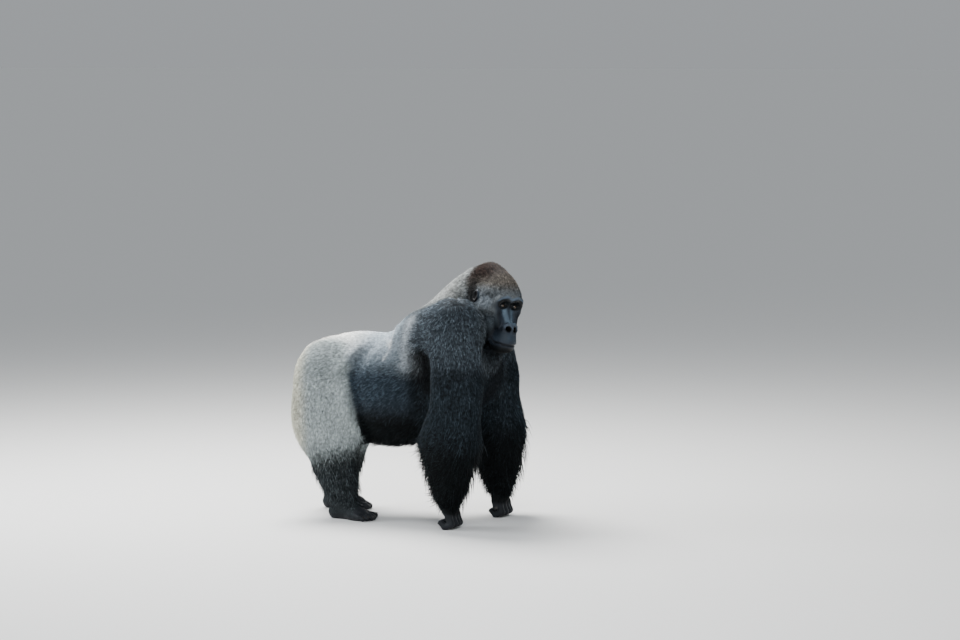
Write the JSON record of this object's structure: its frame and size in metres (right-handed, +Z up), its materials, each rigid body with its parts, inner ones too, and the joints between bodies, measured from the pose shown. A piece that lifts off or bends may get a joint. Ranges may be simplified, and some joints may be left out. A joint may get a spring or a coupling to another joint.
{
  "type": "silverback gorilla model",
  "caption": "Life-size still model of an adult male gorilla standing on its knuckles and soles, its head turned to its right.",
  "frame": {"origin": "on the floor, under the middle of the model's box", "axes": "+X the way the body faces, +Y towards the animal's left side, +Z up"},
  "size_m": [1.1652, 0.7468, 1.1977],
  "materials": {
    "silver_coat": "matt silver-grey fur",
    "grey_coat": "matt charcoal fur with pale tips",
    "dark_coat": "matt black shaggy fur",
    "crown_coat": "matt reddish-brown short fur",
    "bare_skin": "satin blue-black creased skin",
    "eye": "wet gloss, dark amber iris"
  },
  "bodies": {
    "root": {"trunk": "silver_coat", "neck": "grey_coat", "head": "crown_coat", "upper_arm_left": "grey_coat", "upper_arm_right": "grey_coat", "forearm_left": "dark_coat", "forearm_right": "dark_coat", "hand_left": "bare_skin", "hand_right": "bare_skin", "thigh_left": "silver_coat", "thigh_right": "silver_coat", "shank_left": "grey_coat", "shank_right": "grey_coat", "foot_left": "bare_skin", "foot_right": "bare_skin", "ear_left": "bare_skin", "ear_right": "bare_skin", "eye_left": "eye", "eye_right": "eye"}
  },
  "joints": []
}
